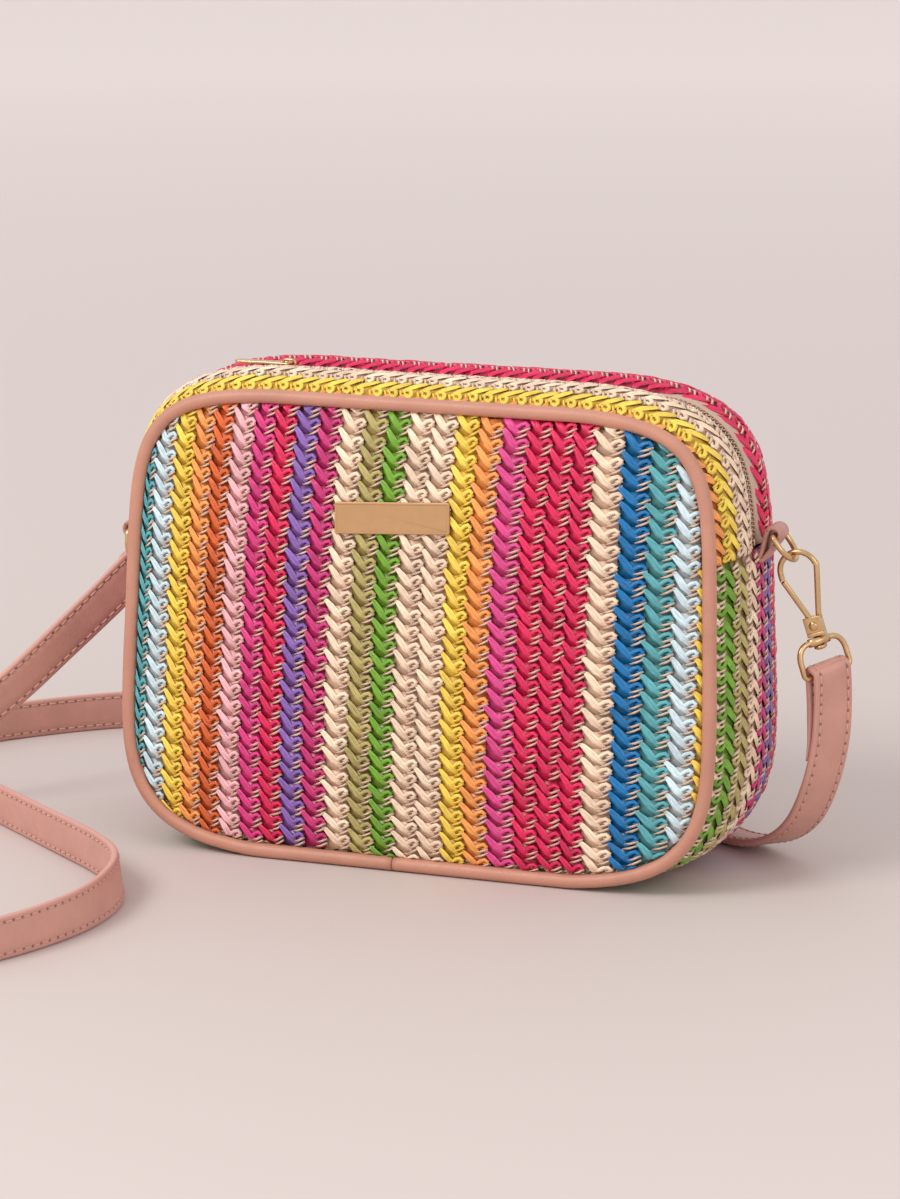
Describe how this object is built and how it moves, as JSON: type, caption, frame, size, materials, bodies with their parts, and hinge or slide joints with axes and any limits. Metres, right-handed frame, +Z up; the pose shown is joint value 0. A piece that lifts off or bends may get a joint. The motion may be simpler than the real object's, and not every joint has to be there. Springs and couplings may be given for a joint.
{
  "type": "striped straw crossbody bag",
  "caption": "Zip-top woven straw crossbody bag with rounded rectangular panels, a gusset between them, leather piping and a leather strap clipped to a ring on each side.",
  "frame": {"origin": "on the floor under the middle of the bag, in the middle of its flat base", "axes": "+Z up, -Y out of the front panel that carries the plate, +X towards the side whose strap end hangs free"},
  "size_m": [0.3899, 0.3567, 0.1654],
  "materials": {
    "straw": "striped paper-straw knit with a slight gloss",
    "piping": "smooth satin leather",
    "strap": "smooth satin leather with stitched ends",
    "lining": "plain woven cotton",
    "zip": "woven tape and nylon coil",
    "gold": "satin light gold plating"
  },
  "bodies": {
    "bag": {"front_panel": "straw", "back_panel": "straw", "gusset": "straw", "zip_strip_front": "straw", "zip_strip_back": "straw", "front_piping": "piping", "back_piping": "piping", "lining": "lining", "zip_tape_front": "zip", "zip_tape_back": "zip", "zip_coil_front": "zip", "zip_coil_back": "zip", "zip_stop_right": "gold", "zip_stop_left": "gold", "front_plate": "gold", "tab_right": "strap", "tab_left": "strap", "eye_right": "gold", "eye_left": "gold", "strap": "strap"},
    "slider": {"zip_slider": "gold"},
    "pull": {"zip_pull": "gold"},
    "ring_right": {"d_ring_right": "gold"},
    "ring_left": {"d_ring_left": "gold"},
    "clasp_right": {"hook_right": "gold", "gate_pin_right": "gold"},
    "clasp_left": {"hook_left": "gold", "gate_pin_left": "gold"},
    "gate_right": {"gate_right": "gold"},
    "gate_left": {"gate_left": "gold"}
  },
  "joints": [
    {"name": "zip_slide", "type": "slide", "parent": "bag", "child": "slider", "axis": [1, 0, 0], "range_m": [0, 0.116]},
    {"name": "pull_swing", "type": "hinge", "parent": "slider", "child": "pull", "pos_m": [-0.058, 0, 0.16348], "axis": [0, 1, 0], "range_deg": [0, 170]},
    {"name": "ring_swing_right", "type": "hinge", "parent": "bag", "child": "ring_right", "pos_m": [0.11485, 0, 0.11635], "axis": [0, 1, 0], "range_deg": [-1, 9]},
    {"name": "ring_swing_left", "type": "hinge", "parent": "bag", "child": "ring_left", "pos_m": [-0.11655, 0, 0.10229], "axis": [0, 1, 0], "range_deg": [-2, 6]},
    {"name": "clasp_swivel_right", "type": "hinge", "parent": "bag", "child": "clasp_right", "pos_m": [0.12235, 0, 0.1045], "axis": [0.3051, 0, -0.9523], "range_deg": [-15, 15]},
    {"name": "clasp_swivel_left", "type": "hinge", "parent": "bag", "child": "clasp_left", "pos_m": [-0.11715, 0.01029, 0.09627], "axis": [-0.105, 0.978, -0.18], "range_deg": [-12, 12]},
    {"name": "gate_open_right", "type": "hinge", "parent": "clasp_right", "child": "gate_right", "pos_m": [0.12812, 0, 0.0865], "axis": [0, 1, 0], "range_deg": [0, 17], "stiffness_Nm_per_rad": 0.002, "springref_deg": -17.19},
    {"name": "gate_open_left", "type": "hinge", "parent": "clasp_left", "child": "gate_left", "pos_m": [-0.11914, 0.02877, 0.09287], "axis": [-0.4871, -0.208, -0.8482], "range_deg": [0, 17], "stiffness_Nm_per_rad": 0.002, "springref_deg": -17.19}
  ]
}
